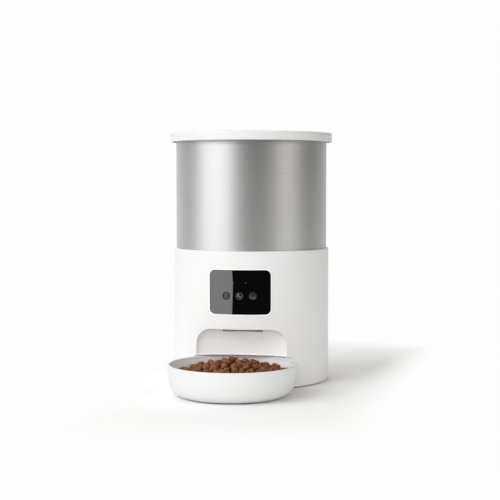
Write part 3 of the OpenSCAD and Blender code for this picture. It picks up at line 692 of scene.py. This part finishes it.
# the floor turns into a pale glow over these distances: beside the feeder that glow is painted
# light over the feeder's cast shadow, and away from the feeder it meets the pale backdrop
PAINTED_LIGHT_LEFT = (-0.09, -0.15)
PAINTED_LIGHT_RIGHT = (0.13, 0.20)
PAINTED_LIGHT_SLANT = 0.10
SWEEP_AWAY = (0.26, 0.42)

# soft boxes in the world's light. Azimuths are in degrees from the camera's side and grow to its
# right, heights are in degrees. (from, to, soft width before, soft width after)
LOW_BAND = (-24, 18, 8, 10)
UPPER_BAND = (18, 45, 10, 10)
LEFT_BOX = (-86, -28.5, 10, 0.6)
RIGHT_BOX = (40, 73, 9, 12)
LEFT_LOW, LEFT_UP = 1.0, 4.4
RIGHT_LOW, RIGHT_UP = 0.48, 2.9
SIDE_BAND = (-10, 60, 8, 10)
# and gradients: (from, to, and the share at each)
SIDE_TURN = (-60, -100)
BEHIND_TURN = (95, 165)
HIGH_RISE = (34, 60)
HIGH_FADE = (-0.45, 0.15, 1.0, 0.05)
SIDE_GAIN, BEHIND_GAIN, HIGH_GAIN = 0.25, 0.73, 1.25
BASE_LIGHT = 0.01
WARM_TURN = (20, 40)
WARM = (1.0, 0.985, 0.965)
# panels in front: width, height, distance, height angle, angle aside, power
FILLS = {"fill_high": (3.2, 1.5, 2.6, 18, -9, 9.7), "fill_low": (2.0, 0.8, 2.6, 6, 4, 18.0)}
FILL_AIM = Vector((0, 0, 0.1))

HEADING = math.radians(8.5)
DISTANCE = 1.53865
CAMERA_H = 0.24606
PITCH = math.radians(3.245)
YAW = math.radians(0.0616)
LENS = 89.755
SENSOR = 36
CLIP = (0.05, 20)


def floor():
    """A disc with painted light: beside the feeder it glows pale over the feeder's cast shadow, so
    that only a short shadow shows, and far away it turns into the backdrop.
    """
    middle = Vector((0, FLOOR_BACK, 0))
    mesh = lathe([(0, 0), (FLOOR_R * 0.5, 0), (FLOOR_R, 0)], middle, FLOOR_SIDES)
    material, g, shader, where = start("floor")
    slow = g.noise(where, 3.0, 1.0)
    g.set(shader, {
        "Base Color": g.mix(slow, rgba(FLOOR_WHITE, 1 - FLOOR_DRIFT),
                            rgba(FLOOR_WHITE, 1 + FLOOR_DRIFT)),
        "Roughness": 1.0, "Specular IOR Level": 0.0})
    axes = g.axes(where)
    # painted light beside the feeder, which lifts its cast shadow
    slanted = g.math("SUBTRACT", axes["X"], g.math("MULTIPLY", axes["Y"], PAINTED_LIGHT_SLANT))
    painted_light_beside = g.math("MAXIMUM", g.span(slanted, *PAINTED_LIGHT_RIGHT), g.span(axes["X"], *PAINTED_LIGHT_LEFT))
    backdrop_and_painted_light = g.math("MAXIMUM", painted_light_beside, g.span(g.length(where), *SWEEP_AWAY))
    # the pale glow: painted light beside the feeder, backdrop far away
    pale = g.add("ShaderNodeEmission", {"Color": rgba(PALE)}).outputs[0]
    both = g.add("ShaderNodeMixShader", {0: backdrop_and_painted_light, 1: shader.outputs[0], 2: pale}).outputs[0]
    g.set(g.find("OUTPUT_MATERIAL"), {"Surface": both})
    mesh.materials.append(material)
    ground = put("floor", mesh)


def studio():
    """Softboxes on the left, the right and above as parts of the world, and a pale backdrop."""
    world = bpy.data.worlds.new("studio")
    world.use_nodes = True
    g = Graph(world.node_tree)
    g.tree.nodes.clear()
    where = g.add("ShaderNodeTexCoord").outputs["Generated"]
    axes = g.axes(g.add("ShaderNodeVectorRotate", {"Vector": where, "Angle": -HEADING},
                        rotation_type="Z_AXIS").outputs[0])
    degrees = 180 / math.pi
    ahead = g.math("MULTIPLY", axes["Y"], -1.0)
    across = g.math("MULTIPLY", g.math("ARCTAN2", axes["X"], ahead), degrees)
    up = g.math("MULTIPLY", g.math("ARCSINE", axes["Z"]), degrees)
    low, upper = g.between(up, *LOW_BAND), g.between(up, *UPPER_BAND)

    def soft_box(turn, low_gain, upper_gain):
        tall = g.math("ADD", g.math("MULTIPLY", low, low_gain),
                      g.math("MULTIPLY", upper, upper_gain))
        return g.math("MULTIPLY", g.between(across, *turn), tall)

    left = soft_box(LEFT_BOX, LEFT_LOW, LEFT_UP)
    right = soft_box(RIGHT_BOX, RIGHT_LOW, RIGHT_UP)
    behind = g.span(g.math("ABSOLUTE", across), *BEHIND_TURN)
    high = g.math("MULTIPLY", g.span(up, *HIGH_RISE), g.span(axes["X"], *HIGH_FADE))
    side = g.math("MULTIPLY", g.span(across, *SIDE_TURN), g.between(up, *SIDE_BAND))
    light = BASE_LIGHT
    for part, gain in ((left, 1.0), (right, 1.0), (behind, BEHIND_GAIN), (high, HIGH_GAIN),
                       (side, SIDE_GAIN)):
        light = g.math("ADD", g.math("MULTIPLY", part, gain), light)
    tint = g.mix(g.span(across, *WARM_TURN), (1.0, 1.0, 1.0, 1), rgba(WARM))
    lit = g.add("ShaderNodeBackground", {"Color": tint, "Strength": light}).outputs[0]
    seen = g.add("ShaderNodeBackground", {"Color": rgba(PALE), "Strength": 1.0}).outputs[0]
    direct = g.add("ShaderNodeLightPath").outputs["Is Camera Ray"]
    both = g.add("ShaderNodeMixShader", {0: direct, 1: lit, 2: seen}).outputs[0]
    g.add("ShaderNodeOutputWorld", {"Surface": both})
    bpy.context.scene.world = world


def fill_light(name, width, height, far, up, aside, power):
    """A wide panel in front that lights the mouth and doesn't show in the gloss."""
    data = bpy.data.lights.new(name, "AREA")
    data.shape = "RECTANGLE"
    data.size, data.size_y = width, height
    data.energy = power
    turn, rise = HEADING + math.radians(aside), math.radians(up)
    away = Vector((math.sin(turn) * math.cos(rise), -math.cos(turn) * math.cos(rise),
                   math.sin(rise)))
    panel = put(name, data)
    panel.location = away * far + FILL_AIM
    panel.rotation_mode = "QUATERNION"
    panel.rotation_quaternion = away.to_track_quat("Z", "Y")
    panel.visible_camera = False
    panel.visible_glossy = False


def camera():
    """The camera fitted to the photograph's proportions."""
    data = bpy.data.cameras.new("camera")
    data.lens = LENS
    data.sensor_width = SENSOR
    data.clip_start, data.clip_end = CLIP
    view = put("camera", data)
    ahead = Matrix.Rotation(HEADING + YAW, 3, "Z") @ Vector((0, math.cos(PITCH), -math.sin(PITCH)))
    view.location = (DISTANCE * math.sin(HEADING), -DISTANCE * math.cos(HEADING), CAMERA_H)
    view.rotation_mode = "QUATERNION"
    view.rotation_quaternion = ahead.to_track_quat("-Z", "Y")
    bpy.context.scene.camera = view


floor()
studio()
for fill_name, fill in FILLS.items():
    fill_light(fill_name, *fill)
camera()
bpy.context.scene.view_settings.view_transform = "Standard"
